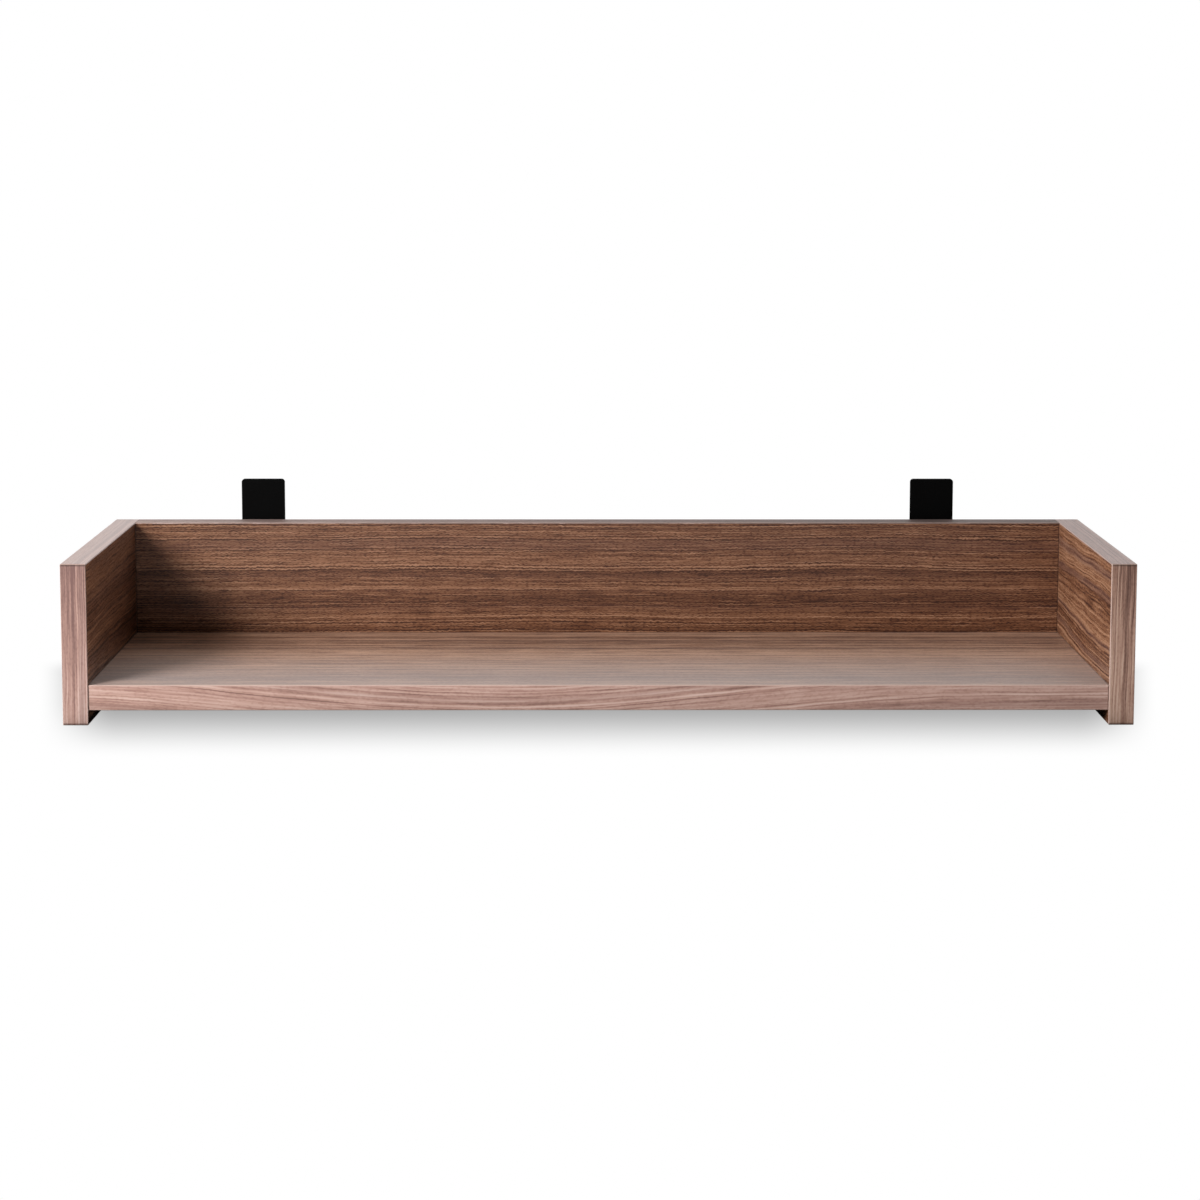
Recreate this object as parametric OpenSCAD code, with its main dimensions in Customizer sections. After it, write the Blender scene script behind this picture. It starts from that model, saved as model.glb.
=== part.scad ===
// Wall shelf: an open tray of veneered boards that hangs on two bent steel brackets.
//
// The origin is the centre of the four wall-screw holes, on the wall's surface.
// +X is to the right of somebody who faces the shelf, +Y goes into the wall, +Z is up.

/* [Tray] */
// Overall width, over both sides
shelf_w = 900; // [750:10:1200]
// Depth, from the wall to the front edges of the sides
shelf_d = 247; // [235:1:300]
// Height of the two sides
side_h = 137; // [135:1:180]
// How far the sides reach below the base board, which hides the bracket arms
skirt_h = 12.6; // [8:0.1:20]
// How far the base board's front edge stands behind the front edges of the sides
base_setback = 1; // [0:0.5:3]

/* [Boards] */
// Thickness of the core board, before it is veneered
core_t = 20; // [18:0.5:25]
// Thickness of the veneer on one face
veneer_t = 0.7; // [0.5:0.1:1]
// Thickness of an edge band
band_t = 1; // [0.8:0.1:2]
// Width of the small flat that takes the sharpness off an outer edge
arris = 0.5; // [0.2:0.1:0.7]

/* [Brackets] */
// Distance between the centre lines of the two brackets
bracket_pitch = 625; // [500:5:640]
// Width of the steel strip that a bracket is bent from
bracket_w = 40; // [30:1:60]
// Thickness of that strip, which is also the gap between the boards and the wall
steel_t = 3; // [2.5:0.5:5]
// Inside radius of its one bend
bend_r = 3; // [1:0.5:5]
// How far the upright leg stands above the sides, as a tab
tab_h = 38; // [10:1:60]
// Reach of the arm from the wall
arm_reach = 205; // [195:1:215]
// Radius of the corners at both ends of the strip
corner_r = 3; // [1:0.5:8]

/* [Wall screw holes] */
// Radius of a wall-screw hole
wall_hole_r = 2.75; // [2:0.25:4]
// Distance from the lower hole to the upper one
wall_hole_pitch = 80; // [60:1:85]
// Height of the lower hole above the bottom of the sides
wall_hole_low = 40; // [36:1:42]
// Radius of the mouth of the countersink
sink_r = 5; // [4.5:0.25:5.25]

/* [Fastenings] */
// Diameter of a wooden dowel
dowel_d = 8; // [6:1:10]
// Length of a wooden dowel
dowel_l = 35; // [30:1:40]
// How deep a dowel goes into the board that it enters square to its face
dowel_bite = 12.5; // [10:0.5:14]
// Distance from the end of a joint to its first dowel
dowel_inset = 35; // [25:1:50]
// How many dowels join the base board to the back board
back_dowels = 6; // [4:1:8]
// How many screws hold each bracket arm to the base board
arm_screws = 3; // [2:1:4]
// Outer diameter of the threaded insert that takes an arm screw
insert_d = 8; // [7:0.5:10]
// Length of that insert
insert_l = 12; // [10:1:14]

/* [Hidden] */
$fn = 64;

// Working gaps
hole_gap = 0.05;    // glue film around a dowel
hole_spare = 1;     // air at the bottom of a blind hole
notch_gap = 0.5;    // around a bracket's bend, in the notch of the back board
over = 1;           // how far a cutter runs past the face that it cuts

// Levels
board_t = core_t + 2 * veneer_t;
bottom_z = -(wall_hole_low + wall_hole_pitch / 2);
top_z = bottom_z + side_h;
base_low_z = bottom_z + skirt_h;
base_top_z = base_low_z + board_t;
base_mid_z = base_low_z + board_t / 2;
tab_top_z = top_z + tab_h;

// Places across and along the shelf
half_w = shelf_w / 2;
inner_x = half_w - board_t;
bracket_x = bracket_pitch / 2;
rear_y = -steel_t;
side_front_y = -shelf_d;
base_front_y = side_front_y + base_setback;
back_front_y = rear_y - board_t;
back_mid_y = rear_y - board_t / 2;

// Dowels
dowel_r = dowel_d / 2;
dowel_hole_r = dowel_r + hole_gap;
dowel_chamfer = 1;
side_dowels = 3;      // from one side into the end of the base board
back_end_dowels = 2;  // from one side into the end of the back board
base_dowel_y = spread(back_front_y - dowel_inset, base_front_y + dowel_inset, side_dowels);
back_dowel_z = spread(base_top_z + dowel_inset / 2, top_z - dowel_inset / 2, back_end_dowels);
back_dowel_x = spread(-inner_x + 1.5 * dowel_inset, inner_x - 1.5 * dowel_inset, back_dowels);

// Arm screws, M5 with a low domed head, in threaded inserts
first_screw_y = -60;
last_screw_y = -180;
arm_screw_y = spread(first_screw_y, last_screw_y, arm_screws);
arm_hole_r = 2.75;
screw_r = 2.45;
screw_bite = 9;   // length of the shank inside the insert
head_r = 4.75;
head_top_r = 2.6;
head_rim_h = 1;
head_h = 2.75;
socket_across_flats = 3;
socket_depth = 1.6;
insert_r = insert_d / 2;
insert_bore_r = 2.5;
insert_barbs = 4;
barb_depth = 0.5;
insert_hole_l = insert_l + hole_spare;

// Colours
walnut = [0.47, 0.33, 0.26];
walnut_edge = [0.60, 0.44, 0.37];
board = [0.66, 0.53, 0.38];
beech = [0.82, 0.66, 0.47];
black = [0.05, 0.05, 0.05];
brass = [0.78, 0.62, 0.30];
dark_steel = [0.16, 0.16, 0.17];

// n values from a to b, evenly spaced
function spread(a, b, n) = [for (i = [0 : n - 1]) a + i * (b - a) / (n - 1)];

// Corner points of a rectangle, where each corner with a cut above 0 is cut off.
// The cuts go round from the low corner: low-low, high-low, high-high, low-high.
function eased_rect(lo, hi, cuts) = [
    each cuts[0] > 0 ? [[lo[0], lo[1] + cuts[0]], [lo[0] + cuts[0], lo[1]]] : [lo],
    each cuts[1] > 0 ? [[hi[0] - cuts[1], lo[1]], [hi[0], lo[1] + cuts[1]]] : [[hi[0], lo[1]]],
    each cuts[2] > 0 ? [[hi[0], hi[1] - cuts[2]], [hi[0] - cuts[2], hi[1]]] : [hi],
    each cuts[3] > 0 ? [[lo[0] + cuts[3], hi[1]], [lo[0], hi[1] - cuts[3]]] : [[lo[0], hi[1]]]
];

// ---- General shapes ----

module block(lo, hi)
    translate(lo) cube(hi - lo);

// An outline given in X and Y, raised along Z
module along_z(points, lo, hi)
    translate([0, 0, lo]) linear_extrude(hi - lo) polygon(points);

// An outline given in Y and Z, carried along X
module along_x(points, lo, hi)
    multmatrix([[0, 0, 1, lo], [1, 0, 0, 0], [0, 1, 0, 0]])
        linear_extrude(hi - lo) polygon(points);

// An outline given in X and Z, carried along Y
module along_y(points, lo, hi)
    multmatrix([[1, 0, 0, 0], [0, 0, -1, hi], [0, 1, 0, 0]])
        linear_extrude(hi - lo) polygon(points);

module rod_x(r, lo, hi)
    translate([lo, 0, 0]) rotate([0, 90, 0]) cylinder(r = r, h = hi - lo);

module rod_y(r, lo, hi)
    translate([0, lo, 0]) rotate([-90, 0, 0]) cylinder(r = r, h = hi - lo);

module other_side()
    mirror([1, 0, 0]) children();

// ---- One side: core, two veneers and four edge bands. Drawn as the left one ----

// The finished side, with every outer edge eased
module side_envelope() {
    cuts = [arris, arris, arris, arris];
    lo = [-half_w, side_front_y, bottom_z];
    hi = [-inner_x, rear_y, top_z];
    intersection() {
        along_z(eased_rect([lo[0], lo[1]], [hi[0], hi[1]], cuts), lo[2], hi[2]);
        along_x(eased_rect([lo[1], lo[2]], [hi[1], hi[2]], cuts), lo[0], hi[0]);
        along_y(eased_rect([lo[0], lo[2]], [hi[0], hi[2]], cuts), lo[1], hi[1]);
    }
}

// Holes for the dowels of both joints, drilled from the inner face
module side_dowel_holes() {
    depth = dowel_bite + hole_spare;
    for (y = base_dowel_y)
        translate([0, y, base_mid_z]) rod_x(dowel_hole_r, -inner_x - depth, -inner_x + over);
    for (z = back_dowel_z)
        translate([0, back_mid_y, z]) rod_x(dowel_hole_r, -inner_x - depth, -inner_x + over);
}

// A layer of the side between two X values, inside the bands
module side_layer(x_lo, x_hi)
    block([x_lo, side_front_y + band_t, bottom_z + band_t], [x_hi, rear_y - band_t, top_z - band_t]);

module side_core()
    color(board) difference() {
        side_layer(-half_w + veneer_t, -inner_x - veneer_t);
        side_dowel_holes();
    }

module side_veneer_inner()
    color(walnut) difference() {
        side_layer(-inner_x - veneer_t, -inner_x);
        side_dowel_holes();
    }

module side_veneer_outer()
    color(walnut) side_layer(-half_w, -half_w + veneer_t);

// The front and rear bands run the full height, and the other two fit between them
module side_upright_band(y_lo)
    color(walnut_edge) intersection() {
        side_envelope();
        block([-half_w, y_lo, bottom_z], [-inner_x, y_lo + band_t, top_z]);
    }

module side_level_band(z_lo)
    color(walnut_edge) intersection() {
        side_envelope();
        block([-half_w, side_front_y + band_t, z_lo], [-inner_x, rear_y - band_t, z_lo + band_t]);
    }

// ---- Base board ----

// The finished front edge, eased along the top, the underside and both ends
module base_front_envelope() {
    intersection() {
        along_z(eased_rect([-inner_x, base_front_y], [inner_x, back_front_y], [arris, arris, 0, 0]),
                base_low_z, base_top_z);
        along_x(eased_rect([base_front_y, base_low_z], [back_front_y, base_top_z], [arris, 0, 0, arris]),
                -inner_x, inner_x);
    }
}

module base_layer(z_lo, z_hi)
    block([-inner_x, base_front_y + band_t, z_lo], [inner_x, back_front_y, z_hi]);

module base_dowel_holes() {
    depth = dowel_l - dowel_bite + hole_spare;
    for (y = base_dowel_y)
        translate([0, y, base_mid_z]) {
            rod_x(dowel_hole_r, -inner_x - over, -inner_x + depth);
            rod_x(dowel_hole_r, inner_x - depth, inner_x + over);
        }
    for (x = back_dowel_x)
        translate([x, 0, base_mid_z]) rod_y(dowel_hole_r, back_front_y - depth, back_front_y + over);
}

module insert_holes()
    for (x = [-bracket_x, bracket_x], y = arm_screw_y)
        translate([x, y, base_low_z - over]) cylinder(r = insert_r, h = insert_hole_l + over);

module base_core()
    color(board) difference() {
        base_layer(base_low_z + veneer_t, base_top_z - veneer_t);
        base_dowel_holes();
        insert_holes();
    }

module base_veneer_top()
    color(walnut) base_layer(base_top_z - veneer_t, base_top_z);

module base_veneer_bottom()
    color(walnut) difference() {
        base_layer(base_low_z, base_low_z + veneer_t);
        insert_holes();
    }

module base_band_front()
    color(walnut_edge) intersection() {
        base_front_envelope();
        block([-inner_x, base_front_y, base_low_z], [inner_x, base_front_y + band_t, base_top_z]);
    }

// ---- Back board ----

// The finished back board, with the two long edges of its top eased
module back_envelope()
    along_x(eased_rect([back_front_y, base_low_z], [rear_y, top_z], [0, 0, arris, arris]),
            -inner_x, inner_x);

// A notch in the lower rear edge for the inside of each bracket's bend
module bend_notches() {
    half = bracket_w / 2 + notch_gap;
    reach = bend_r + notch_gap;
    for (x = [-bracket_x, bracket_x])
        block([x - half, rear_y - reach, base_low_z - over], [x + half, rear_y + over, base_low_z + reach]);
}

module back_dowel_holes() {
    end_depth = dowel_l - dowel_bite + hole_spare;
    face_depth = dowel_bite + hole_spare;
    for (z = back_dowel_z)
        translate([0, back_mid_y, z]) {
            rod_x(dowel_hole_r, -inner_x - over, -inner_x + end_depth);
            rod_x(dowel_hole_r, inner_x - end_depth, inner_x + over);
        }
    for (x = back_dowel_x)
        translate([x, 0, base_mid_z]) rod_y(dowel_hole_r, back_front_y - over, back_front_y + face_depth);
}

module back_layer(y_lo, y_hi)
    block([-inner_x, y_lo, base_low_z + band_t], [inner_x, y_hi, top_z - band_t]);

module back_core()
    color(board) difference() {
        back_layer(back_front_y + veneer_t, rear_y - veneer_t);
        back_dowel_holes();
        bend_notches();
    }

module back_veneer_front()
    color(walnut) difference() {
        back_layer(back_front_y, back_front_y + veneer_t);
        back_dowel_holes();
    }

module back_veneer_rear()
    color(walnut) difference() {
        back_layer(rear_y - veneer_t, rear_y);
        bend_notches();
    }

module back_band(z_lo)
    color(walnut_edge) difference() {
        intersection() {
            back_envelope();
            block([-inner_x, back_front_y, z_lo], [inner_x, rear_y, z_lo + band_t]);
        }
        bend_notches();
    }

// ---- Bracket: one strip, bent once into an upright leg and an arm ----

// What is taken off a square corner to round it, for a corner that sits at the
// origin and fills the quarter where X and Y are positive
module corner_waste(r, h)
    difference() {
        translate([-over, -over, -over]) cube([r + over, r + over, h + 2 * over]);
        translate([r, r, -2 * over]) cylinder(r = r, h = h + 4 * over);
    }

// A strip that lies flat from Y 0 to Y l, with both corners of its far end rounded
module strip(w, l, t, r)
    difference() {
        translate([-w / 2, 0, 0]) cube([w, l, t]);
        for (side = [0, 1])
            mirror([side, 0, 0]) translate([w / 2, l, 0]) rotate(180) corner_waste(r, t);
    }

// A quarter ring that turns the leg into the arm
module bend() {
    outer_r = bend_r + steel_t;
    translate([-bracket_w / 2, -outer_r, base_low_z + bend_r])
        intersection() {
            difference() {
                rotate([0, 90, 0]) cylinder(r = outer_r, h = bracket_w);
                translate([-over, 0, 0]) rotate([0, 90, 0]) cylinder(r = bend_r, h = bracket_w + 2 * over);
            }
            translate([0, 0, -outer_r]) cube([bracket_w, outer_r, outer_r]);
        }
}

module wall_holes()
    for (z = [-wall_hole_pitch / 2, wall_hole_pitch / 2])
        translate([0, 0, z]) {
            rod_y(wall_hole_r, -steel_t - over, over);
            translate([0, -steel_t, 0]) rotate([-90, 0, 0])
                cylinder(r1 = sink_r, r2 = wall_hole_r, h = sink_r - wall_hole_r);
        }

module arm_holes()
    for (y = arm_screw_y)
        translate([0, y, base_low_z - steel_t - over]) cylinder(r = arm_hole_r, h = steel_t + 2 * over);

module bracket() {
    outer_r = bend_r + steel_t;
    foot_z = base_low_z + bend_r;
    color(black) translate([-bracket_x, 0, 0]) difference() {
        union() {
            translate([0, 0, foot_z]) rotate([90, 0, 0])
                strip(bracket_w, tab_top_z - foot_z, steel_t, corner_r);
            bend();
            translate([0, -outer_r, base_low_z - steel_t]) rotate(180)
                strip(bracket_w, arm_reach - outer_r, steel_t, corner_r);
        }
        wall_holes();
        arm_holes();
    }
}

// ---- Fastenings ----

// A dowel along Z with chamfered ends, centred on the origin
module dowel() {
    r = dowel_r;
    c = dowel_chamfer;
    half = dowel_l / 2;
    rotate_extrude()
        polygon([[0, -half], [r - c, -half], [r, c - half], [r, half - c], [r - c, half], [0, half]]);
}

// Dowels from the left side into the base board
module side_base_dowels()
    color(beech) for (y = base_dowel_y)
        translate([-inner_x - dowel_bite + dowel_l / 2, y, base_mid_z]) rotate([0, 90, 0]) dowel();

// Dowels from the left side into the back board
module side_back_dowels()
    color(beech) for (z = back_dowel_z)
        translate([-inner_x - dowel_bite + dowel_l / 2, back_mid_y, z]) rotate([0, 90, 0]) dowel();

module base_back_dowels()
    color(beech) for (x = back_dowel_x)
        translate([x, back_front_y + dowel_bite - dowel_l / 2, base_mid_z]) rotate([90, 0, 0]) dowel();

// A threaded insert: a tube with barbs that point down, so that it can't pull out
module insert() {
    pitch = insert_l / insert_barbs;
    root_r = insert_r - barb_depth;
    crest = pitch / 5;
    rotate_extrude()
        polygon([
            [insert_bore_r, 0],
            for (i = [0 : insert_barbs - 1])
                each [[insert_r, i * pitch], [insert_r, i * pitch + crest], [root_r, (i + 1) * pitch]],
            [insert_bore_r, insert_l]
        ]);
}

// Inserts in the underside of the base board, over the left bracket's arm
module base_inserts()
    color(brass) for (y = arm_screw_y)
        translate([-bracket_x, y, base_low_z]) insert();

// A screw with its head under the origin and its shank above it
module arm_screw() {
    socket_r = socket_across_flats / 2 / cos(30);
    difference() {
        union() {
            translate([0, 0, -head_rim_h]) cylinder(r = head_r, h = head_rim_h);
            translate([0, 0, -head_h])
                cylinder(r1 = head_top_r, r2 = head_r, h = head_h - head_rim_h);
            cylinder(r = screw_r, h = steel_t + screw_bite);
        }
        translate([0, 0, -head_h - over]) cylinder(r = socket_r, h = socket_depth + over, $fn = 6);
    }
}

// Screws that hold the base board down on the left bracket's arm
module arm_screw_set()
    color(dark_steel) for (y = arm_screw_y)
        translate([-bracket_x, y, base_low_z - steel_t]) arm_screw();

// ---- Nodes ----

side_core();  // side_core_left
side_veneer_inner();  // side_veneer_inner_left
side_veneer_outer();  // side_veneer_outer_left
side_upright_band(side_front_y);  // side_band_front_left
side_upright_band(rear_y - band_t);  // side_band_rear_left
side_level_band(top_z - band_t);  // side_band_top_left
side_level_band(bottom_z);  // side_band_bottom_left
other_side() side_core();  // side_core_right
other_side() side_veneer_inner();  // side_veneer_inner_right
other_side() side_veneer_outer();  // side_veneer_outer_right
other_side() side_upright_band(side_front_y);  // side_band_front_right
other_side() side_upright_band(rear_y - band_t);  // side_band_rear_right
other_side() side_level_band(top_z - band_t);  // side_band_top_right
other_side() side_level_band(bottom_z);  // side_band_bottom_right
base_core();
base_veneer_top();
base_veneer_bottom();
base_band_front();
back_core();
back_veneer_front();
back_veneer_rear();
back_band(top_z - band_t);  // back_band_top
back_band(base_low_z);  // back_band_bottom
bracket();  // bracket_left
other_side() bracket();  // bracket_right
base_inserts();  // base_inserts_left
other_side() base_inserts();  // base_inserts_right
arm_screw_set();  // arm_screws_left
other_side() arm_screw_set();  // arm_screws_right
side_base_dowels();  // side_base_dowels_left
other_side() side_base_dowels();  // side_base_dowels_right
side_back_dowels();  // side_back_dowels_left
other_side() side_back_dowels();  // side_back_dowels_right
base_back_dowels();
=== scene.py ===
"""A walnut-veneered wall shelf on two black steel brackets: finishes, fastenings, light and camera."""

import math

import bpy
import numpy as np
from mathutils import Matrix, Vector


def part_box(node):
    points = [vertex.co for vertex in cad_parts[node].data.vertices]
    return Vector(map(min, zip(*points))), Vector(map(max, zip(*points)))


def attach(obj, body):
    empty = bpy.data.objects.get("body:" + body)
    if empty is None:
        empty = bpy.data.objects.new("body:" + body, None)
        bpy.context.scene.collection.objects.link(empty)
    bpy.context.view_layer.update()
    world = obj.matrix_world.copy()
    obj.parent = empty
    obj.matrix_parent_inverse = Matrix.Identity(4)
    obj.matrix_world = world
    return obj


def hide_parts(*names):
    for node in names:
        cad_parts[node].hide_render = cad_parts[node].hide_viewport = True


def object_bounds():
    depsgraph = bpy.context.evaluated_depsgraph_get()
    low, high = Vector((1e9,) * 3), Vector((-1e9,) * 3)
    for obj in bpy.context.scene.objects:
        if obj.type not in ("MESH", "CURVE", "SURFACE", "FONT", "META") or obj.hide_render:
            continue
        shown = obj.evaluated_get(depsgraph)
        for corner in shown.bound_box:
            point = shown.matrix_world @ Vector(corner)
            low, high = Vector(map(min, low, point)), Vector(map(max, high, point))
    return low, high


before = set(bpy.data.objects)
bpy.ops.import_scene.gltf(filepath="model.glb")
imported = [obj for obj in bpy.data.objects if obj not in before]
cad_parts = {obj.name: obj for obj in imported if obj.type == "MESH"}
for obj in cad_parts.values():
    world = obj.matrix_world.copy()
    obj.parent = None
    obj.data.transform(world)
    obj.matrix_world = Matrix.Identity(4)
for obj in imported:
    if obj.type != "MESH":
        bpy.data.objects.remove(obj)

CAD_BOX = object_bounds()
MM = 0.001
SIDES = ("left", "right")


# ---- Shader maths ----


class Reading:
    """A value at each point of a surface. Arithmetic on it adds Math nodes to its finish."""

    def __init__(self, finish, socket):
        self.finish = finish
        self.socket = socket

    def __add__(self, other):
        return self.finish.maths("ADD", self, other)

    __radd__ = __add__

    def __sub__(self, other):
        return self.finish.maths("SUBTRACT", self, other)

    def __rsub__(self, other):
        return self.finish.maths("SUBTRACT", other, self)

    def __mul__(self, other):
        return self.finish.maths("MULTIPLY", self, other)

    __rmul__ = __mul__

    def __truediv__(self, other):
        return self.finish.maths("DIVIDE", self, other)

    def __pow__(self, other):
        return self.finish.maths("POWER", self, other)

    def __abs__(self):
        return self.finish.maths("ABSOLUTE", self)

    def over(self, start, full):
        """0 up to start and 1 from full on, with a smooth rise between them."""
        settings = {"interpolation_type": "SMOOTHSTEP"}
        return self.finish.add("MapRange", settings, {0: self, 1: start, 2: full})

    def held(self, low, high):
        return self.finish.add("Clamp", {}, {0: self, 1: low, 2: high})


class Finish:
    """A node tree under construction, of a material or of the world."""

    def __init__(self, owner):
        self.owner = owner
        owner.use_nodes = True
        self.tree = owner.node_tree
        self.tree.nodes.clear()

    def add(self, kind, settings, sockets, output=0):
        """Adds a node, sets it up, then fills its sockets with numbers, colours or links."""
        node = self.tree.nodes.new("ShaderNode" + kind)
        for key, value in settings.items():
            if key == "stops":
                self.set_stops(node.color_ramp, value)
            else:
                setattr(node, key, value)
        for key, value in sockets.items():
            if isinstance(value, Reading):
                self.tree.links.new(value.socket, node.inputs[key])
            else:
                node.inputs[key].default_value = value
        return Reading(self, node.outputs[output]) if node.outputs else None

    @staticmethod
    def set_stops(ramp, stops):
        while len(ramp.elements) < len(stops):
            ramp.elements.new(0.5)
        for element, (place, colour) in zip(ramp.elements, stops):
            element.position = place
            element.color = (*colour, 1.0) if isinstance(colour, tuple) else (colour, colour, colour, 1.0)

    def maths(self, operation, *terms):
        return self.add("Math", {"operation": operation}, dict(enumerate(terms)))

    def ramp(self, value, stops):
        return self.add("ValToRGB", {"stops": stops}, {0: value})

    def mixed(self, factor, first, second):
        """Mixes two colours."""
        return self.add("Mix", {"data_type": "RGBA"}, {0: factor, 6: first, 7: second}, 2)

    def parts(self, vector):
        """X, Y and Z of a vector."""
        return [self.add("SeparateXYZ", {}, {0: vector}, i) for i in range(3)]

    def place(self):
        """X, Y and Z of the point in the object's own frame, in millimetres."""
        return [part / MM for part in self.parts(self.add("TexCoord", {}, {}, "Object"))]

    def noise(self, x, y, z, detail=0.0, roughness=0.5):
        """Smooth noise about 0.5, with features about 1 wide."""
        point = self.add("CombineXYZ", {}, {0: x, 1: y, 2: z})
        sockets = {"Vector": point, "Scale": 1.0, "Detail": detail, "Roughness": roughness}
        return self.add("TexNoise", {}, sockets)

    def streaks(self, x, seed, detail=0.0, roughness=0.5):
        """Noise along one line only."""
        sockets = {"W": x + seed, "Scale": 1.0, "Detail": detail, "Roughness": roughness}
        return self.add("TexNoise", {"noise_dimensions": "1D"}, sockets)

    def bump(self, height, depth, strength=1.0):
        """A normal for a relief of that depth in metres."""
        return self.add("Bump", {}, {"Strength": strength, "Distance": depth, "Height": height})

    def surface(self, **sockets):
        """Ends the tree in one shader, and gives the finished material."""
        named = {key.replace("_", " "): value for key, value in sockets.items()}
        shader = self.add("BsdfPrincipled", {}, named)
        self.add("OutputMaterial", {}, {0: shader})
        return self.owner


def new_finish(name):
    return Finish(bpy.data.materials.new(name))


def paint(red, green, blue):
    """A linear colour from 0 to 255 display values, by the sRGB curve."""
    levels = [c / 255 for c in (red, green, blue)]
    return tuple(c / 12.92 if c <= 0.04045 else ((c + 0.055) / 1.055) ** 2.4 for c in levels)


def tones(*colours):
    """Colours from dark to light, each given as display values."""
    return tuple(paint(*colour) for colour in colours)


# ---- Walnut ----

FACE_TONES = tones((58, 29, 16), (92, 55, 36), (116, 75, 51), (140, 97, 70), (170, 127, 98))
BAND_TONES = tones((112, 80, 74), (142, 108, 98), (166, 130, 118), (186, 153, 142), (202, 174, 164))
EDGE_TONES = tones((112, 79, 72), (142, 107, 95), (166, 128, 115), (186, 151, 138), (202, 172, 160))
BASE_TONES = tones((70, 38, 24), (104, 66, 46), (134, 92, 66), (162, 118, 90), (196, 152, 122))
STRIP_TONES = tones((74, 52, 44), (102, 78, 69), (128, 102, 93), (156, 132, 124), (186, 164, 158))
TAN_TONES = tones((92, 62, 50), (124, 90, 76), (150, 114, 97), (172, 136, 118), (192, 160, 142))
TONE_PLACES = (0.04, 0.3, 0.5, 0.7, 0.96)
VIOLET = (*paint(88, 62, 60), 1.0)
# Grey of the painted sheen: bright light reflected at a low angle.
PAINTED_SHEEN_GREY = (*paint(158, 144, 140), 1.0)
# Pale of the painted highlight along eased arrises.
ARRIS_HIGHLIGHT = (*paint(200, 172, 160), 1.0)
# Dark of the painted shade in joints where pieces meet.
JOINT_SHADE = (*paint(44, 26, 20), 1.0)
AXES = "XYZ"

# How long and how wide each part of the grain is, in millimetres along and across it. DEPTH_SCALE is its
# size into the board, and HAIR_SHARE is a hair's width as a share of the distance between growth lines.
SLOW_BEND = (190, 55)
QUICK_BEND = (38, 11)
SHIVER = (3.2, 3.5)
RING_FADE = (70, 5)
CLOUD = (24, 42)
DEPTH_SCALE = 60
BELT_WIDTH = 8
TINT_WIDTH = 15
HAIR_LENGTH = 45
DASH_LENGTH = 3.2
PORE_LENGTH = 22
HAIR_SHARE = 0.65

# How strongly each part of the grain shows. A fine line starts and is full at the distances in
# FINE_LINE_EDGES, in millimetres, and RELIEF is the depth of the pores.
BAND_DEPTH = 0.6
RING_DEPTH = (0.7, 1.1)
HAIR_DEPTH = 0.9
CLOUD_DEPTH = 0.16
PORE_DARKNESS = 0.3
PORE_MIDDLE = 0.2
PORE_SHARE = 0.7
# How strongly the painted highlight shows on eased arrises.
ARRIS_HIGHLIGHT_SHARE = 0.6
FINE_LINE_EDGES = (1.2, 0.4)
FINE_LINE_STRENGTH = 0.6
RELIEF = 0.09 * MM

# Each part of the grain is hidden where its noise is at the first value, and full where it is at the second.
FADE_EDGES = (0.3, 0.62)
DASH_EDGES = (0.5, 0.68)
PORE_EDGES = (0.54, 0.74)
TINT_EDGES = (0.5, 0.68)

# How much more often pores open in dark growth lines and in dark bands.
RING_CROWD = 0.4
BAND_CROWD = 0.08


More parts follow.
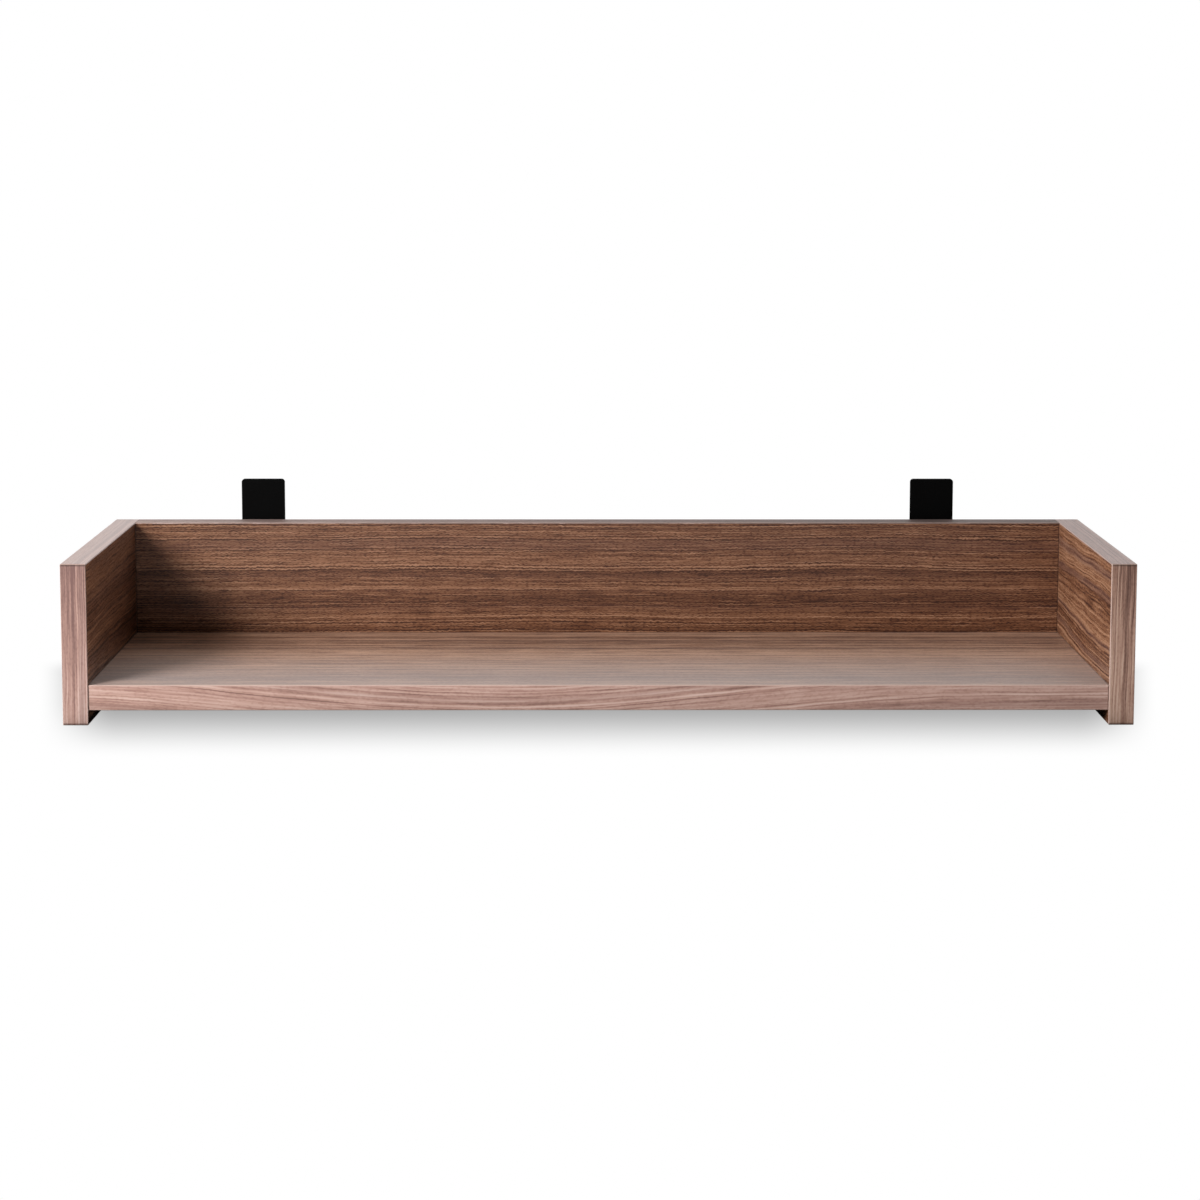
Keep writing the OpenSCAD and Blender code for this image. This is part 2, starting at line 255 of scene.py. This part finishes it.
def walnut(
    name,
    grain,
    across,
    seed,
    streaks=((0.0, 0.5), (1.0, 0.5)),
    reach=(-50, 60),
    shades=FACE_TONES,
    level=0.5,
    contrast=1.0,
    pores=1.0,
    wander=5.0,
    ripple=0.35,
    spacing=1.4,
    belts=0.0,
    sweep=(0.0, 0.0, 1.0),
    light_climb=0.0,
    violet=0.3,
    roughness=0.4,
    haze=0.0,
    painted_sheen=(0, 1, 0.0),
    lines=(),
    lacquer_index=1.5,
):
    """Straight-grained walnut under satin lacquer: grain along one axis, its lines spread across another.

    A line's place is its distance across the grain, plus slow, quick and shivering noise, plus a sweep: a dip
    of depth * exp(-((along - centre) / width) ** 2). Bands come from listed streaks between the two limits
    of reach, growth lines from noise along that place alone, and pores from noise stretched along the grain.
    Spacing is the distance between growth lines, and belts is how strongly wider ones show. Wander and ripple
    are how far the slow and the shivering noise move a line.

    The tone is about level, and climbs by the given amount per metre along the grain: a painted gradient of
    light. Pores is how dark the open pores are, and violet how strongly wide bands turn to that colour. Haze
    is the pale sheen of open pores seen at a low angle. The painted sheen gives where across the grain the
    colour starts and ends going grey, and by how much: a painted reflection of bright light at a low angle.
    Lines are fine lines across an axis at a place, in a colour: painted shade where the piece meets its
    neighbour, a painted highlight along an arris. Faces that lean off square, the eased arrises, are painted
    lighter too: a painted highlight.
    """
    wood = new_finish(name)
    point = wood.place()
    along, cross = point[AXES.index(grain)], point[AXES.index(across)]
    deep = point[3 - AXES.index(grain) - AXES.index(across)] / DEPTH_SCALE + seed
    depth, centre, width = sweep
    if depth:
        bell = wood.maths("EXPONENT", ((along - centre) / width) ** 2 * -1)
        cross = cross + bell * depth
    slow = wood.noise(along / SLOW_BEND[0], cross / SLOW_BEND[1], deep)
    quick = wood.noise(along / QUICK_BEND[0], cross / QUICK_BEND[1], deep + 4)
    shiver = wood.noise(along / SHIVER[0], cross / SHIVER[1], deep + 8, 1.0)
    line = cross + (slow - 0.5) * (4 * wander) + (quick - 0.5) * wander + (shiver - 0.5) * (4 * ripple)
    low, high = reach
    bands = wood.ramp((line - low) / (high - low), streaks)
    rings = wood.streaks(line / spacing, seed * 3.1, 2.0, 0.6)
    fading = wood.noise(along / RING_FADE[0], line / RING_FADE[1], deep + 10).over(*FADE_EDGES)
    fine = spacing * HAIR_SHARE
    hair = wood.noise(along / HAIR_LENGTH, line / fine, deep + 12, 1.0, 0.6)
    cloud = wood.noise(along / CLOUD[0], cross / CLOUD[1], deep + 16, 1.0)
    crowd = (0.5 - rings) * RING_CROWD + (0.5 - bands) * BAND_CROWD
    dashes = (wood.noise(along / DASH_LENGTH, line / fine, deep + 20) + crowd).over(*DASH_EDGES)
    long_pores = (wood.noise(along / PORE_LENGTH, line / fine, deep + 24) + crowd).over(*PORE_EDGES)
    open_grain = (dashes * PORE_SHARE + long_pores * PORE_SHARE).held(0.0, 1.0)
    shown = fading * RING_DEPTH[1] + RING_DEPTH[0]
    tone = level + (bands - 0.5) * (BAND_DEPTH * contrast) + (rings - 0.5) * shown * contrast
    if belts:
        tone = tone + (wood.streaks(line / BELT_WIDTH, seed * 2.3, 2.0, 0.6) - 0.5) * belts
    # The last term climbs along the grain: a painted gradient of light.
    tone = tone + (hair - 0.5) * (HAIR_DEPTH * contrast) + (cloud - 0.5) * CLOUD_DEPTH + along * (light_climb * MM)
    tone = tone - (open_grain - PORE_MIDDLE) * (PORE_DARKNESS * pores)
    colour = wood.ramp(tone, tuple(zip(TONE_PLACES, shades)))
    tint = wood.streaks(line / TINT_WIDTH, seed * 1.7 + 9, 1.0).over(*TINT_EDGES) * violet
    colour = wood.mixed(tint, colour, VIOLET)
    # Painted sheen: the colour goes grey across the grain, a painted reflection of bright light.
    start, full, amount = painted_sheen
    if amount:
        colour = wood.mixed(cross.over(start, full) * amount, colour, PAINTED_SHEEN_GREY)
    for axis, spot, line_colour in lines:
        gap = abs(point[AXES.index(axis)] - spot)
        colour = wood.mixed(gap.over(*FINE_LINE_EDGES) * FINE_LINE_STRENGTH, colour, line_colour)
    # Painted highlight: faces that lean off square, the eased arrises, are painted paler and a little
    # glossier.
    facing = [abs(part) for part in wood.parts(wood.add("NewGeometry", {}, {}, "Normal"))]
    squarest = wood.maths("MAXIMUM", wood.maths("MAXIMUM", facing[0], facing[1]), facing[2])
    eased_highlight = (1 - squarest).over(0.05, 0.25)
    colour = wood.mixed(eased_highlight * ARRIS_HIGHLIGHT_SHARE, colour, ARRIS_HIGHLIGHT)
    relief = 0.5 - open_grain * 0.5 + (hair - 0.5) * 0.35
    return wood.surface(
        Base_Color=colour,
        Roughness=roughness + open_grain * 0.12 + (cloud - 0.5) * 0.1 - eased_highlight * 0.08,
        IOR=lacquer_index,
        Sheen_Weight=haze,
        Sheen_Roughness=0.3,
        Normal=wood.bump(relief, RELIEF, 0.6),
    )


# The main bands of each board: place from one edge to the other, and tone from 0, dark, to 1, light.
BACK_STREAKS = (
    (0.00, 0.3), (0.10, 0.5), (0.15, 0.7), (0.25, 0.3), (0.35, 0.3), (0.40, 0.7),
    (0.50, 0.4), (0.55, 0.2), (0.60, 0.7), (0.75, 0.4), (0.85, 0.5), (1.00, 0.4),
)
BASE_STREAKS = ((0.0, 0.5), (0.2, 0.4), (0.3, 0.6), (0.6, 0.7), (0.7, 0.4), (0.9, 0.5), (1.0, 0.6))
SIDE_STREAKS = (
    (0.0, 0.5), (0.1, 0.6), (0.2, 0.3), (0.3, 0.6), (0.4, 0.2), (0.5, 0.7),
    (0.7, 0.2), (0.8, 0.6), (1.0, 0.5),
)
EDGE_STREAKS = (
    (0.0, 0.5), (0.1, 0.3), (0.3, 0.6), (0.4, 0.3), (0.5, 0.7), (0.7, 0.3), (0.8, 0.7), (1.0, 0.6),
)
UPRIGHT_STREAKS = {
    "left": ((0.0, 0.4), (0.1, 0.4), (0.2, 0.6), (0.4, 0.3), (0.5, 0.1), (0.6, 0.6), (0.7, 0.7), (1.0, 0.6)),
    "right": ((0.0, 0.7), (0.2, 0.5), (0.4, 0.8), (0.5, 0.3), (0.6, 0.1), (0.7, 0.3), (0.8, 0.4), (1.0, 0.3)),
}

# Width over which the bands of a side board's edges are spread, in millimetres.
EDGE_WIDTH = 22


def dress_boards():
    """Gives every veneer, edge band and core its finish."""
    # Painted shade in the corners where the back and the base meet the side boards.
    ends = [("X", corner[0] / MM, JOINT_SHADE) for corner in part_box("base_core")]
    dress_back(ends)
    dress_base(ends)
    for number, side in enumerate(SIDES):
        dress_side(number, side)
    put_on(fibreboard(), "base_core", "back_core", "side_core_left", "side_core_right")


def dress_back(ends):
    # Painted light: the back face grows slightly darker to the right.
    face = walnut(
        "walnut_back", "X", "Z", 1.3, BACK_STREAKS, (-46, 57), level=0.51, pores=1.3, wander=1.6, ripple=0.55,
        light_climb=-0.1, violet=0.15, lines=ends,
    )
    # Painted light: the top strip grows darker to the right, as its sheen fades.
    edge = walnut(
        "walnut_back_edge", "X", "Y", 11.2, shades=STRIP_TONES, level=0.33, pores=0.4, light_climb=-0.7,
        roughness=0.55, haze=0.12,
    )
    put_on(face, "back_veneer_front", "back_veneer_rear")
    put_on(edge, "back_band_top", "back_band_bottom")


def dress_base(ends):
    # Painted sheen: the top goes greyer towards its front, as bright light reflects at a low angle.
    face = walnut(
        "walnut_base", "X", "Y", 5.1, BASE_STREAKS, (-246, -24), BASE_TONES, level=0.6, contrast=1.7,
        wander=1.2, pores=0.6, spacing=2.0, belts=1.7, violet=0.15, lines=ends, roughness=0.48, haze=0.1,
        painted_sheen=(-60, -240, 0.6), lacquer_index=1.9,
    )
    # Painted highlight along the top arris of the front band.
    rim = ("Z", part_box("base_band_front")[1][2] / MM, ARRIS_HIGHLIGHT)
    edge = walnut(
        "walnut_base_edge", "X", "Z", 8.4, EDGE_STREAKS, (-92, -40), EDGE_TONES, level=0.57, contrast=0.66,
        pores=0.4, wander=1.2, ripple=0.1, spacing=2.8, sweep=(30.0, -80.0, 260.0), violet=0.15,
        lines=[*ends, rim],
    )
    put_on(face, "base_veneer_top", "base_veneer_bottom")
    put_on(edge, "base_band_front")


def dress_side(number, side):
    """Faces and edge bands of one side board. Each pair of values is for the left and the right board."""
    seed = 14.0 + 20 * number
    inner = walnut(
        f"walnut_inner_{side}", "Y", "Z", seed, SIDE_STREAKS, (-80, 57), level=(0.46, 0.66)[number],
        contrast=(0.8, 1.1)[number], wander=3.0, spacing=2.6, violet=(0.12, 0.45)[number],
    )
    outer = walnut(
        f"walnut_outer_{side}", "Y", "Z", seed + 5, SIDE_STREAKS, (-80, 57), level=0.6, wander=3.0,
    )
    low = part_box(f"side_band_front_{side}")[0][0] / MM
    reach = (low, low + EDGE_WIDTH)
    # Painted shade in the joints at the top and bottom of the front band.
    marks = [("Z", corner[2] / MM, JOINT_SHADE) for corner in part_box(f"side_veneer_outer_{side}")]
    # On the right board, a painted highlight along the inner arris of the front band.
    if side == "right":
        marks.append(("X", low, ARRIS_HIGHLIGHT))
    # Painted light: the front and rear bands grow lighter towards the foot.
    upright = walnut(
        f"walnut_upright_{side}", "Z", "X", seed + 9, UPRIGHT_STREAKS[side], reach,
        (BAND_TONES, TAN_TONES)[number], level=(0.38, 0.55)[number], contrast=(0.8, 1.2)[number], pores=0.4,
        wander=1.6, ripple=0.1, spacing=2.2, light_climb=-3.4, violet=(0.3, 0.1)[number], lines=marks,
    )
    top = walnut(
        f"walnut_level_{side}", "Y", "X", seed + 13, EDGE_STREAKS, reach, BAND_TONES,
        level=(0.54, 0.34)[number], contrast=0.6, pores=0.4, wander=0.8, ripple=0.1, violet=0.3,
        haze=(1.0, 0.55)[number],
    )
    put_on(inner, f"side_veneer_inner_{side}")
    put_on(outer, f"side_veneer_outer_{side}")
    put_on(upright, f"side_band_front_{side}", f"side_band_rear_{side}")
    put_on(top, f"side_band_top_{side}", f"side_band_bottom_{side}")


def put_on(material, *nodes):
    """Makes it the only material of those CAD nodes."""
    for node in nodes:
        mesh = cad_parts[node].data
        mesh.materials.clear()
        mesh.materials.append(material)


# ---- Other finishes ----


def fibreboard():
    """Bare fibreboard: pale brown, with fine fluff and darker flecks."""
    board = new_finish("fibreboard")
    x, y, z = board.place()
    fluff = board.noise(x / 0.9, y / 0.9, z / 0.9, 3.0)
    flecks = board.noise(x / 2.1, y / 2.1, z / 2.1, 1.0).over(0.62, 0.72)
    stops = ((0.2, paint(120, 92, 66)), (0.5, paint(164, 134, 102)), (0.8, paint(188, 160, 128)))
    colour = board.ramp(fluff - flecks * 0.3, stops)
    return board.surface(Base_Color=colour, Roughness=0.75 + fluff * 0.2, Normal=board.bump(fluff, 0.1 * MM))


def beech():
    """Bare beech: pale, with short brown flecks along the dowel."""
    wood = new_finish("beech")
    x, y, z = wood.place()
    flecks = wood.noise(x / 1.6, y / 0.8, z / 0.8, 2.0)
    stops = ((0.3, paint(176, 136, 98)), (0.6, paint(214, 180, 140)), (0.8, paint(226, 196, 158)))
    colour = wood.ramp(flecks, stops)
    return wood.surface(Base_Color=colour, Roughness=0.6 + flecks * 0.2, Normal=wood.bump(flecks, 0.05 * MM))


def powder_coat():
    """Black powder coat with a fine orange-peel texture, a little duller in patches."""
    coat = new_finish("powder_coat")
    x, y, z = coat.place()
    peel = coat.noise(x / 0.45, y / 0.45, z / 0.45, 2.0, 0.6)
    patches = coat.noise(x / 30, y / 30, z / 30, 2.0)
    colour = coat.ramp(peel * 0.6 + patches * 0.4, ((0.3, paint(2, 2, 2)), (0.7, paint(5, 5, 5))))
    return coat.surface(
        Base_Color=colour,
        Roughness=0.5 + peel * 0.2 + (patches - 0.5) * 0.1,
        Specular_IOR_Level=0.05,
        Normal=coat.bump(peel, 0.06 * MM, 0.7),
    )


def turned_brass():
    """Brass with fine turning lines and a little tarnish."""
    brass = new_finish("turned_brass")
    x, y, z = brass.place()
    lines = brass.streaks(z / 0.12, 3.0, 1.0)
    tarnish = brass.noise(x / 4, y / 4, z / 4, 3.0)
    colour = brass.ramp(tarnish, ((0.35, paint(150, 112, 52)), (0.65, paint(214, 178, 104))))
    shine, relief = 0.25 + tarnish * 0.2, brass.bump(lines, 0.02 * MM)
    return brass.surface(Base_Color=colour, Metallic=1.0, Roughness=shine, Normal=relief)


def black_oxide():
    """Oiled black oxide on steel, a little brighter in patches of wear."""
    oxide = new_finish("black_oxide")
    x, y, z = oxide.place()
    wear = oxide.noise(x / 1.4, y / 1.4, z / 1.4, 3.0, 0.6)
    colour = oxide.ramp(wear, ((0.4, paint(34, 34, 37)), (0.7, paint(74, 74, 78))))
    shine, relief = 0.3 + wear * 0.25, oxide.bump(wear, 0.02 * MM)
    return oxide.surface(Base_Color=colour, Metallic=1.0, Roughness=shine, Normal=relief)


def ease(node, width):
    """Rounds a CAD node's sharp edges slightly: its loose triangles are joined first."""
    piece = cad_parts[node]
    weld = piece.modifiers.new("weld", "WELD")
    weld.merge_threshold = 0.002 * MM
    bevel = piece.modifiers.new("eased_edges", "BEVEL")
    bevel.width = width
    bevel.segments = 3
    bevel.limit_method = "ANGLE"
    bevel.angle_limit = 0.7
    bevel.harden_normals = True


# ---- Fastenings, turned as closed surfaces ----

ROUND = 72
ANGLES = np.linspace(0, 2 * np.pi, ROUND, endpoint=False)
PITCH = 0.8 * MM
THREAD_STEP = 0.08 * MM
HEAD_RADIUS = 4.75 * MM
PLUG_RADIUS = 4 * MM
X, Y, Z = range(3)


def turned(radii, heights, looped=False):
    """Points, four-sided faces and end faces of one closed round piece that stands on Z.

    Ring j holds the points (r cos a, r sin a, h), where a runs once round, r comes from row j of radii and h
    from heights. Neighbouring rings are joined. The two end rings are closed on a centre point each, or
    joined to each other where the piece is looped, as a tube is.
    """
    count = len(heights)
    radii = np.stack([np.broadcast_to(row, ROUND) for row in radii])
    levels = np.broadcast_to(np.reshape(heights, (-1, 1)), radii.shape)
    points = np.stack([radii * np.cos(ANGLES), radii * np.sin(ANGLES), levels], axis=-1).reshape(-1, 3)
    row, turn = np.meshgrid(np.arange(count if looped else count - 1), np.arange(ROUND), indexing="ij")
    after, beside = (row + 1) % count, (turn + 1) % ROUND
    corners = (row * ROUND + turn, row * ROUND + beside, after * ROUND + beside, after * ROUND + turn)
    sides = np.stack(corners, axis=-1).reshape(-1, 4)
    if looped:
        return points, sides, np.empty((0, 3), dtype=int)
    around = np.arange(ROUND)
    beyond = np.roll(around, -1)
    last = (count - 1) * ROUND
    low = np.stack([np.full(ROUND, len(points)), beyond, around], axis=-1)
    high = np.stack([np.full(ROUND, len(points) + 1), last + around, last + beyond], axis=-1)
    centres = [[0.0, 0.0, heights[0]], [0.0, 0.0, heights[-1]]]
    return np.vstack([points, centres]), sides, np.vstack([low, high])


def thread(heights, root, depth):
    """Radii of a screw thread: root + depth * |2 t - 1|, where t is the part left of h / pitch - a / turn."""
    turns = np.reshape(heights, (-1, 1)) / PITCH - ANGLES / (2 * np.pi)
    return root + depth * np.abs(2 * (turns % 1.0) - 1)


def hex_screw(length):
    """A button-head screw that points up, from the face of its head at 0 to its tip.

    The dome is r = top + (rim - top) sin q, h = rise (1 - cos q), with q from 0 to a quarter turn. The socket
    is a hexagon, r = half the width across flats / cos of the angle from the nearest flat's middle.
    """
    top, rise, head, half_flats, socket = (v * MM for v in (2.6, 1.75, 2.75, 1.5, 1.6))
    neck, root, ridge, tip = (v * MM for v in (2.1, 2.05, 0.4, 1.75))
    rim = HEAD_RADIUS
    hexagon = half_flats / np.cos((ANGLES + np.pi / 6) % (np.pi / 3) - np.pi / 6)
    quarter = np.linspace(0, np.pi / 2, 10)
    shank = np.arange(head + 0.1 * MM, length - 0.6 * MM, THREAD_STEP)
    radii = [hexagon * 0.97, hexagon, hexagon * 1.04, *(top + (rim - top) * np.sin(quarter)), rim - 0.1 * MM]
    radii += [neck, *thread(shank, root, ridge), tip]
    heights = [socket, 0.15 * MM, 0.0, *(rise * (1 - np.cos(quarter))), head, head, *shank, length]
    return turned(radii, heights)


def threaded_insert(length):
    """A barbed brass insert that points up, threaded inside.

    Outside, r = 4 mm less half a millimetre times the part left of 4 h / length, which gives four barbs, less
    a fine knurl of 0.1 mm |sin 18 a|. Inside is a thread, run back down to the first ring.
    """
    barb, notch, foot, mouth, bore, root, ridge = (v * MM for v in (0.5, 0.1, 3.85, 3.3, 2.95, 2.5, 0.35))
    outer = np.linspace(0.15 * MM, length - 0.15 * MM, 61)
    barbs = PLUG_RADIUS - barb * ((4 * outer / length) % 1.0)
    knurl = notch * np.abs(np.sin(18 * ANGLES))
    inner = np.arange(length - 0.1 * MM, 0.1 * MM, -THREAD_STEP)
    radii = [foot, *(barbs[:, None] - knurl), mouth, bore, *thread(inner, root, ridge), bore]
    heights = [0.0, *outer, length, length, *inner, 0.0]
    return turned(radii, heights, looped=True)


def fluted_dowel(length):
    """A dowel with chamfered ends and twelve glue flutes: r = 4 mm - 0.3 mm cos(6 a) ** 8."""
    tip, shoulder, flute = (v * MM for v in (2.8, 3.1, 0.3))
    flutes = PLUG_RADIUS - flute * np.cos(6 * ANGLES) ** 8
    radii = [tip, shoulder, flutes, flutes, shoulder, tip]
    heights = [0.0, 0.1 * MM, MM, length - MM, length - 0.1 * MM, length]
    return turned(radii, heights)


def stand_in(name, node, finish, make, stem, run, radius, count):
    """Copies of one turned shape, as long as a CAD node's box, as one piece in that node's place.

    Each copy's own axis lies along stem. The copies are spread along run, from one end of the node's box to
    the other, less the radius.
    """
    low, high = (np.array(corner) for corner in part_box(node))
    points, sides, ends = make(high[stem] - low[stem])
    places = np.tile((low + high) / 2, (count, 1))
    places[:, stem] = low[stem]
    places[:, run] = np.linspace(low[run] + radius, high[run] - radius, count)
    copies = (places[:, None, :] + np.roll(points, stem - Z, axis=1)).reshape(-1, 3)
    shift = np.arange(count)[:, None, None] * len(points)
    faces = (sides + shift).reshape(-1, 4).tolist() + (ends + shift).reshape(-1, 3).tolist()
    mesh = bpy.data.meshes.new(name)
    mesh.from_pydata(copies.tolist(), [], faces)
    mesh.materials.append(finish)
    piece = bpy.data.objects.new(name, mesh)
    bpy.context.collection.objects.link(piece)
    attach(piece, "root")
    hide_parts(node)


def fit_hardware():
    """Brackets with eased edges, and the screws, inserts and dowels."""
    put_on(powder_coat(), "bracket_left", "bracket_right")
    brass, oxide, wood = turned_brass(), black_oxide(), beech()
    for side in SIDES:
        ease(f"bracket_{side}", 0.4 * MM)
        stand_in(
            f"hex_screws_{side}", f"arm_screws_{side}", oxide, hex_screw,
            stem=Z, run=Y, radius=HEAD_RADIUS, count=3,
        )
        stand_in(
            f"threaded_inserts_{side}", f"base_inserts_{side}", brass, threaded_insert,
            stem=Z, run=Y, radius=PLUG_RADIUS, count=3,
        )
        stand_in(
            f"fluted_dowels_base_{side}", f"side_base_dowels_{side}", wood, fluted_dowel,
            stem=X, run=Y, radius=PLUG_RADIUS, count=3,
        )
        stand_in(
            f"fluted_dowels_back_{side}", f"side_back_dowels_{side}", wood, fluted_dowel,
            stem=X, run=Z, radius=PLUG_RADIUS, count=2,
        )
    stand_in(
        "fluted_dowels_rear", "base_back_dowels", wood, fluted_dowel,
        stem=Y, run=X, radius=PLUG_RADIUS, count=6,
    )


# ---- Room: floor, light and camera ----

# Floor: its reach in metres, and distances of its shade from the edges of the shelf's box in millimetres.
FLOOR_REACH = 9.0
FLOOR_WHITE = (0.86, 0.86, 0.86, 1.0)
FLOOR_BENEATH = (0.03, 0.03, 0.03, 1.0)
SHADE = 0.36
SHADE_IN = 48
SHADE_OUT = 22
SHADE_FRONT = 113
SHADE_SPREAD = 0.23
DISPLAY_GAMMA = 2.2
DARK_RIM = 5
DARK_START = 30
# Light: angles in degrees, distances in metres, power in watts.
ROOM_GLOW = 0.02
BACKDROP_GLOW = 1.6
BACKDROP_FOOT_GLOW = 0.1
CEILING_GLOW = 0.45
KEY_AIM = (0.0, -0.12, 0.0)
KEY_TURN = 52
KEY_RISE = 27
KEY_DISTANCE = 2.5
KEY_SIZE = 0.88
KEY_POWER = 72.0
# Camera: angles in radians, place in metres, lens in millimetres, shift in widths of the picture.
CAMERA_PLACE = (-0.0126, -2.2228, 0.4018)
CAMERA_TURN = -0.0066
CAMERA_TILT = 0.0977
CAMERA_ROLL = 0.00102
CAMERA_LENS = 71.87
CAMERA_SHIFT = -0.18


def lay_floor():
    """A plain white floor at the foot of the shelf, with a soft shade under and around it.

    The shade is the product of smooth edges: one past each end, one in front and one behind. The floor is
    darker to reflected light just beneath the shelf, where little light reaches it.
    """
    low, high = CAD_BOX
    corners = [(x * FLOOR_REACH, y * FLOOR_REACH, low[2]) for x, y in ((-1, -1), (1, -1), (1, 1), (-1, 1))]
    mesh = bpy.data.meshes.new("floor")
    mesh.from_pydata(corners, [], [(0, 1, 2, 3)])
    floor = bpy.data.objects.new("floor", mesh)
    bpy.context.collection.objects.link(floor)
    white = new_finish("floor_white")
    x, y, _ = white.place()
    end, front, rear = (v / MM for v in (high[0], low[1], high[1]))
    ends = 1 - (abs(x) - (y - front) * SHADE_SPREAD).over(end - SHADE_IN, end + SHADE_OUT)
    before = y.over(front - SHADE_FRONT, front + 2 * SHADE_IN)
    behind = 1 - y.over(rear - SHADE_IN, rear + SHADE_OUT)
    shade = ends * before * behind
    beneath = (1 - abs(x).over(end - DARK_RIM, end + DARK_RIM)) * y.over(front - DARK_START, front)
    beneath = beneath * (1 - y.over(rear - DARK_RIM, rear + DARK_RIM))
    chalk = white.add("BsdfDiffuse", {}, {"Color": white.mixed(beneath, FLOOR_WHITE, FLOOR_BENEATH)})
    paper = white.add("Emission", {}, {"Color": (1 - shade * SHADE) ** DISPLAY_GAMMA, "Strength": 1.0})
    seen = white.add("LightPath", {}, {}, "Is Camera Ray")
    both = white.add("MixShader", {}, {0: seen, 1: chalk, 2: paper})
    white.add("OutputMaterial", {}, {0: both})
    mesh.materials.append(white.owner)


def light_room():
    """A white sweep behind and above the shelf, a dim room in front of it, and one soft box at the left."""
    world = bpy.data.worlds.new("studio")
    bpy.context.scene.world = world
    sky = Finish(world)
    direction = sky.add("TexCoord", {}, {}, "Generated")
    _, behind, above = sky.parts(direction)
    seen = sky.add("LightPath", {}, {}, "Is Camera Ray")
    rear = behind.over(0.0, 0.5)
    foot = 1 - above.over(0.2, 0.45)
    ceiling = above.over(0.7, 0.9)
    sweep = (1 - foot) * (1 - ceiling) * BACKDROP_GLOW + foot * BACKDROP_FOOT_GLOW
    glow = rear * sweep + (1 - rear) * ROOM_GLOW + ceiling * CEILING_GLOW
    backdrop = sky.add("Background", {}, {"Color": seen + (1 - seen) * glow, "Strength": 1.0})
    sky.add("OutputWorld", {}, {0: backdrop})
    box = bpy.data.lights.new("soft_box", "AREA")
    box.shape = "SQUARE"
    box.size = KEY_SIZE
    box.energy = KEY_POWER
    lamp = bpy.data.objects.new("soft_box", box)
    bpy.context.collection.objects.link(lamp)
    turn, rise = math.radians(KEY_TURN), math.radians(KEY_RISE)
    towards = Vector((-math.sin(turn) * math.cos(rise), -math.cos(turn) * math.cos(rise), math.sin(rise)))
    lamp.matrix_world = aimed(Vector(KEY_AIM) + towards * KEY_DISTANCE, KEY_AIM)
    lamp.visible_camera = False


def aimed(place, target):
    """A matrix that puts a light at one place and turns it towards another."""
    turn = (Vector(place) - Vector(target)).to_track_quat("Z", "Y")
    return Matrix.Translation(place) @ turn.to_matrix().to_4x4()


def set_camera():
    lens = bpy.data.cameras.new("camera")
    lens.lens = CAMERA_LENS
    lens.sensor_width = 36.0
    lens.shift_y = CAMERA_SHIFT
    camera = bpy.data.objects.new("camera", lens)
    bpy.context.collection.objects.link(camera)
    turn = Matrix.Rotation(CAMERA_TURN, 4, "Z")
    tilt = Matrix.Rotation(math.pi / 2 - CAMERA_TILT, 4, "X")
    roll = Matrix.Rotation(CAMERA_ROLL, 4, "Z")
    camera.matrix_world = Matrix.Translation(CAMERA_PLACE) @ turn @ tilt @ roll
    bpy.context.scene.camera = camera
    bpy.context.scene.view_settings.view_transform = "Standard"


set_camera()
light_room()
lay_floor()
dress_boards()
fit_hardware()
